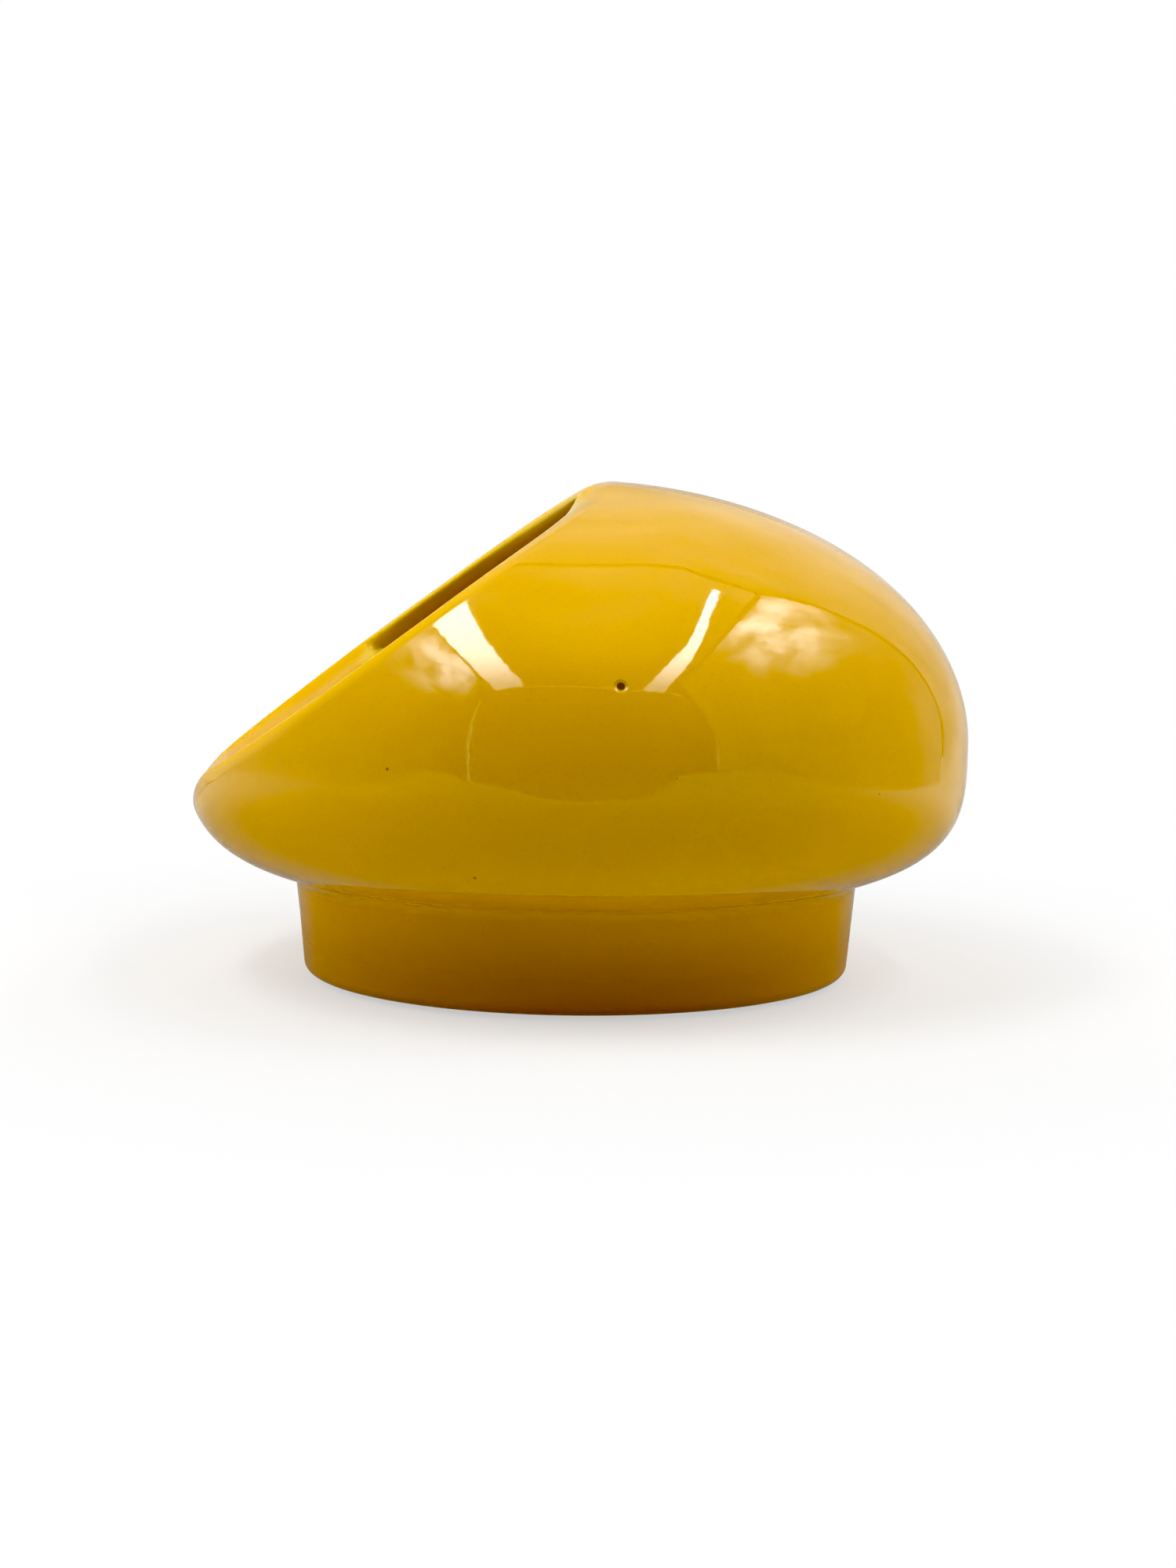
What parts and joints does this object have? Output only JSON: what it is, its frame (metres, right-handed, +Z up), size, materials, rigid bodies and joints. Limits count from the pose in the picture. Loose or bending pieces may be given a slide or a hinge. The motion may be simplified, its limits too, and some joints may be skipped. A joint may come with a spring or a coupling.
{
  "type": "slant-mouth bowl",
  "caption": "Squashed-ball glazed ceramic bowl on a short tapered foot, with one large slanting mouth and a broad rest across its low end.",
  "frame": {"origin": "centre of the foot, on the surface that the bowl stands on", "axes": "+Z up, -X the way the slanting mouth faces, Y across the mouth"},
  "size_m": [0.1996, 0.2, 0.1259],
  "materials": {
    "yellow_glaze": "high-gloss opaque glaze"
  },
  "bodies": {
    "root": {"body_shell": "yellow_glaze", "mouth_rim": "yellow_glaze", "foot_ring": "yellow_glaze", "base_disc": "yellow_glaze"}
  },
  "joints": []
}
